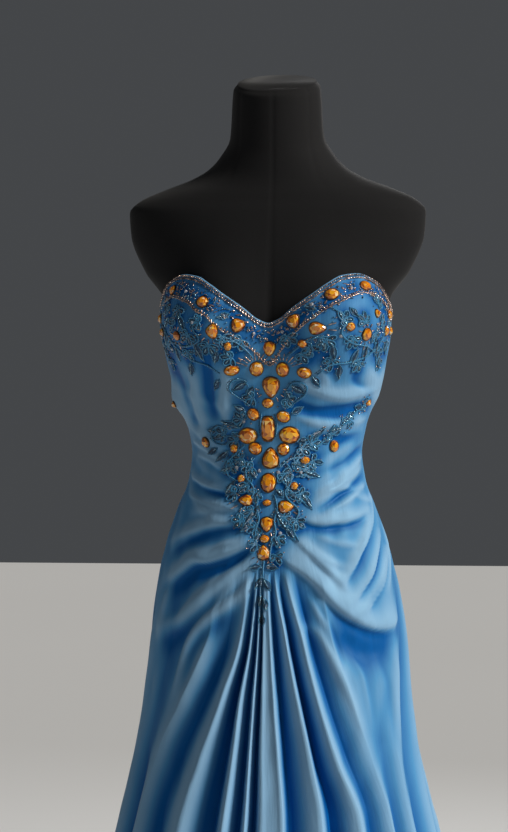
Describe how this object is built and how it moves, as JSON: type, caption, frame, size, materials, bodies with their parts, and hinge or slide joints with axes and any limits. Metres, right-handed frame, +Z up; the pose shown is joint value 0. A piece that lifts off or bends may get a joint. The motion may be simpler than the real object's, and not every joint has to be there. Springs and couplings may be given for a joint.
{
  "type": "evening gown on a dress form",
  "caption": "Strapless floor-length evening gown with a sweetheart neckline, raised beadwork and a pleated, draped skirt, worn on a limbless dress form with a stand.",
  "frame": {"origin": "centre of the underside of the stand's round base, on the floor", "axes": "+Z up, along the pole; the gown faces -Y; +X is to the right of someone who looks at the front"},
  "size_m": [0.7176, 0.6668, 1.5469],
  "materials": {
    "satin": "soft satin sheen",
    "stones": "faceted amber glass",
    "crystals": "clear cut glass",
    "beads": "glass bugle beads, metallic lined",
    "settings": "dark bronze claw settings",
    "cord": "lustrous embroidery cord",
    "zip_tape": "woven tape",
    "zip_metal": "enamelled",
    "form_cover": "matt jersey",
    "stand_metal": "satin powder coat"
  },
  "bodies": {
    "gown_on_form": {"bodice_front": "satin", "bodice_back_left": "satin", "bodice_back_right": "satin", "skirt_front_middle": "satin", "skirt_front_left": "satin", "skirt_front_right": "satin", "skirt_back_left": "satin", "skirt_back_right": "satin", "zip_strip": "zip_tape", "zip_slider": "zip_metal", "dress_form": "form_cover", "stand_pole": "stand_metal", "stand_base": "stand_metal"},
    "pull_tab": {"zip_pull": "zip_metal"}
  },
  "joints": [
    {"name": "pull_tab_hinge", "type": "hinge", "parent": "gown_on_form", "child": "pull_tab", "pos_m": [0, 0.0984, 1.17453], "axis": [1, 0, 0], "range_deg": [0, 160]}
  ]
}
